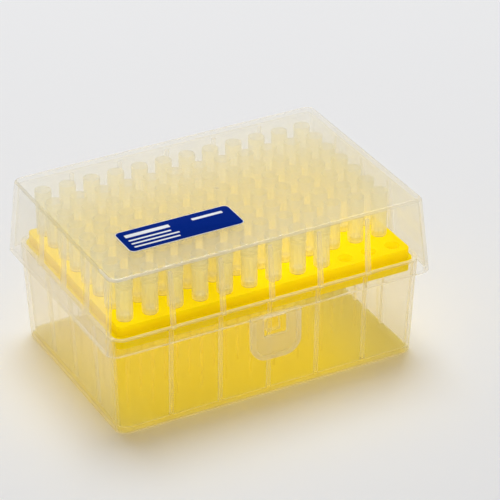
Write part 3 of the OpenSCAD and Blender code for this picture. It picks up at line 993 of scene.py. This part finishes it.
class TIPBOX_OT_lid(bpy.types.Operator):
    """Clear lid with its ribs, gate mark, latch tab and hinge clips"""

    bl_idname = "tipbox.lid"
    bl_label = "Lid"
    bl_options = {"REGISTER", "UNDO"}

    def execute(self, context):
        settings = context.scene.tip_box
        lid, hinge = settings.lid, settings.hinge
        finish = lid_finish(lid)
        shell, lines = self.shell(lid, settings.ribs)
        piece("lid_shell", [shell, self.gate(lid)], finish, "lid", ["lid"], lines=lines)
        piece("latch_tab", [self.tab(lid, settings.latch)], finish, "lid")
        clips = [part for place in (-CLIP_PLACE, CLIP_PLACE) for part in self.clip(lid, hinge, place)]
        piece("hinge_clips", clips, finish, "lid")
        return {"FINISHED"}

    @staticmethod
    def side(lid, z):
        """Margin of the outer wall at a height."""
        return LID_HIGH.x - GRID_X - (z - LID_RIM) * math.tan(lid.draft)

    def shell(self, lid, ribs):
        """From the ceiling's middle down the inner wall, round the rim, up and over to the top's middle."""
        ceiling, edge_foot, soft = LID_TOP - lid.wall, LID_TOP - lid.edge, 0.35 * MM
        rib_top = ceiling - lid.edge

        def corner(z):
            return lid.corner - (z - LID_RIM) * math.tan(lid.draft) / 2

        inner = self.side(lid, ceiling) - lid.wall
        inner_corner = max(corner(ceiling) - lid.wall, 0.6 * MM)
        fillet = 0.7 * MM
        levels = [(inner - fillet, ceiling, inner_corner - 0.3 * MM, 0.0, s) for s in (0.5, 0.97, 0.995)]
        levels += [
            (inner - fillet * (1 - math.cos(t)), ceiling - fillet * (1 - math.sin(t)),
             inner_corner - 0.3 * MM * (1 - math.cos(t)), 0.0, 1.0)
            for t in np.radians((90, 65, 45, 25, 0))
        ]
        for z, deep in ((rib_top + 0.02 * MM, 0.0), (rib_top, lid.rib_head), (TUB_TOP, lid.rib_foot),
                        (TUB_TOP - 0.02 * MM, 0.0), (LID_RIM + soft + HOLD, 0.0)):
            levels.append((self.side(lid, z) - lid.wall, z, corner(z) - lid.wall, deep, 1.0))
        rim = self.side(lid, LID_RIM)
        levels += arc_levels(
            rim - lid.wall + soft, LID_RIM + soft, soft, 180, 270, 5, lid.corner - lid.wall + soft
        )
        levels += arc_levels(rim - soft, LID_RIM + soft, soft, 270, 360, 5, lid.corner - soft)
        levels += [
            (self.side(lid, z), z, corner(z), 0.0, 1.0) for z in (LID_RIM + soft + HOLD, edge_foot - HOLD)
        ]
        top_margin, top_corner = self.side(lid, edge_foot), corner(edge_foot)
        levels += arc_levels(
            top_margin - lid.edge, edge_foot, lid.edge, 0, 90, 10, top_corner - lid.edge / 2, pace=0.5
        )
        levels += [(*levels[-1][:4], s) for s in (0.995, 0.97, 0.5)]
        stations = wall_stations(ribs)
        walls = skin(wall_grid(levels, stations), first=(0, 0, ceiling), last=(0, 0, LID_TOP))
        return walls, line_marks(levels, stations)

    def gate(self, lid):
        """Low round button in the middle of the top."""
        rise = LID_HIGH.z - LID_TOP
        radius = np.array([0.02 * MM, lid.gate / 2, lid.gate / 2, lid.gate / 2 - 0.06 * MM, 0.02 * MM])
        z = np.array([-0.05 * MM, -0.05 * MM, rise - 0.06 * MM, rise, rise])
        return turned(radius, z, 0 * z, [(0, 0, LID_TOP)], 6)[0]

    def tab(self, lid, latch):
        """Loops from the window's back edge over the panel and border and round to the back.

        Each is a rectangle with its own corner radii in the XZ plane. The back face stands a wall's
        thickness behind the lid's front.
        """
        front = -GRID_Y - self.side(lid, LID_RIM)
        back, face = front + lid.wall, front - latch.rise
        top, foot = LID_RIM + lid.wall / 2, LID_RIM - latch.drop
        half = latch.width / 2
        window_top = LID_RIM - latch.window_drop
        window_foot = window_top - latch.window_height

        def loop(y, wide, low, high, low_r, high_r):
            """Counter-clockwise from the front: eight points to a corner, one in the middle of a side."""
            middle = (low + high) / 2
            spots = []
            for x, z, r, start in ((wide, high, high_r, 0), (-wide, high, high_r, 90),
                                   (-wide, low, low_r, 180), (wide, low, low_r, 270)):
                turn = np.radians(np.linspace(start, start + 90, 8))
                cx, cz = x - math.copysign(r, x), z - (r if z > middle else -r)
                spots.append(np.stack([cx + r * np.cos(turn), cz + r * np.sin(turn)], -1))
                spots.append([[0.0, z]] if start in (0, 180) else [[x, middle]])
            flat = np.concatenate(spots)
            return np.stack([flat[:, 0], np.full(len(flat), y), flat[:, 1]], -1)

        def window(y, grow):
            wide, low, high = latch.window_width / 2 + grow, window_foot - grow, window_top + grow
            return loop(y, wide, low, high, 0.5 * MM, 0.5 * MM)

        def outer(y, inset):
            return loop(y, half - inset, foot + inset, top, latch.corner - inset, 0.3 * MM)

        soft = 0.22 * MM
        grid = np.stack([
            window(back, 0.1 * MM), window(back - soft, 0.0),
            window(front + soft, 0.0), window(front, 0.15 * MM),
            outer(front, latch.border + 0.1 * MM), outer(front - soft, latch.border),
            outer(face, latch.border - soft), outer(face, soft), outer(face + soft, 0.0),
            outer(back - soft, 0.0), outer(back, soft),
        ])
        return skin(grid, closed=True)

    def clip(self, lid, hinge, x):
        """A hook round the bar, the arm that joins it to the rim, and the stop lug."""
        y, z = HINGE.y, HINGE.z
        bore = hinge.bar / 2 + 0.05 * MM
        outer = bore + hinge.clip_wall
        half = hinge.clip_width / 2
        hook = hook_of((y, z), bore, outer, -52, 232, hinge.clip_width, x)
        root = GRID_Y + self.side(lid, LID_RIM) - lid.wall * 0.65
        arm = softened([
            (root, z + bore + 0.1 * MM), (y + outer / 2, z + bore + 0.1 * MM),
            (y + outer / 2, LID_RIM + lid.wall), (root, LID_RIM + 2 * lid.wall),
        ], 0.4 * MM)
        # The stop lug is a flat box that leans down from the bar's level
        tilt, thin = math.radians(27.4), 0.7 * MM
        near, far = bore + 0.25 * MM, 4.2 * MM
        box = np.array([(near, -thin), (far, -thin), (far, thin), (near, thin)])
        turn = np.array([(math.cos(tilt), -math.sin(tilt)), (math.sin(tilt), math.cos(tilt))])
        lug = softened(box @ turn + (y, z), 0.25 * MM)
        return [hook, bar_of(arm, x - half, x + half, 0.3 * MM), bar_of(lug, x - half, x + half, 0.2 * MM)]


class TIPBOX_OT_label(bpy.types.Operator):
    """Printed label on the lid"""

    bl_idname = "tipbox.label"
    bl_label = "Label"
    bl_options = {"REGISTER", "UNDO"}

    def execute(self, context):
        label = context.scene.tip_box.label
        piece("label", [self.slab(label)], label_finish(label), "lid", ["lid_label"])
        return {"FINISHED"}

    def slab(self, label):
        """Rounded outlines drawn in over the upper edge, with the middles as poles."""
        mid, half = (LABEL_LOW + LABEL_HIGH) / 2, (LABEL_HIGH - LABEL_LOW) / 2
        turn = np.radians(np.concatenate([np.linspace(a, a + 90, 9) for a in (0, 90, 180, 270)]))
        sign_x, sign_y = np.repeat([(1, -1, -1, 1), (1, 1, -1, -1)], 9, axis=1)
        loops = []
        foot = LABEL_LOW.z + 0.02 * MM
        for z, inset in ((foot, 0.0), (LABEL_HIGH.z - 0.04 * MM, 0.0), (LABEL_HIGH.z, 0.06 * MM)):
            r = label.corner - inset
            loops.append(np.stack([
                mid.x + sign_x * (half.x - label.corner) + r * np.cos(turn),
                mid.y + sign_y * (half.y - label.corner) + r * np.sin(turn),
                np.full(turn.shape, z),
            ], -1))
        return skin(np.stack(loops), first=(mid.x, mid.y, foot), last=(mid.x, mid.y, LABEL_HIGH.z))


STEPS = (
    TIPBOX_OT_studio,
    TIPBOX_OT_tub,
    TIPBOX_OT_rack,
    TIPBOX_OT_tips,
    TIPBOX_OT_filters,
    TIPBOX_OT_lid,
    TIPBOX_OT_label,
)


class TIPBOX_PT_panel(bpy.types.Panel):
    """Lists the steps and their sizes"""

    bl_label = "Tip box"
    bl_idname = "TIPBOX_PT_panel"
    bl_space_type = "VIEW_3D"
    bl_region_type = "UI"
    bl_category = "Tip box"

    def draw(self, context):
        settings = context.scene.tip_box
        for step in STEPS:
            self.layout.operator(step.bl_idname)
        for key in SETTINGS:
            box = self.layout.box()
            box.label(text=key.capitalize())
            group = getattr(settings, key)
            for name in group.__annotations__:
                box.prop(group, name)


CLASSES = (*SETTINGS.values(), TipBoxSettings, *STEPS, TIPBOX_PT_panel)


def register():
    for kind in CLASSES:
        bpy.utils.register_class(kind)
    bpy.types.Scene.tip_box = PointerProperty(type=TipBoxSettings)


def unregister():
    del bpy.types.Scene.tip_box
    for kind in reversed(CLASSES):
        bpy.utils.unregister_class(kind)


def main():
    """Registers the add-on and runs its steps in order."""
    register()
    for step in STEPS:
        group, name = step.bl_idname.split(".")
        getattr(getattr(bpy.ops, group), name)()


if __name__ == "__main__":
    main()
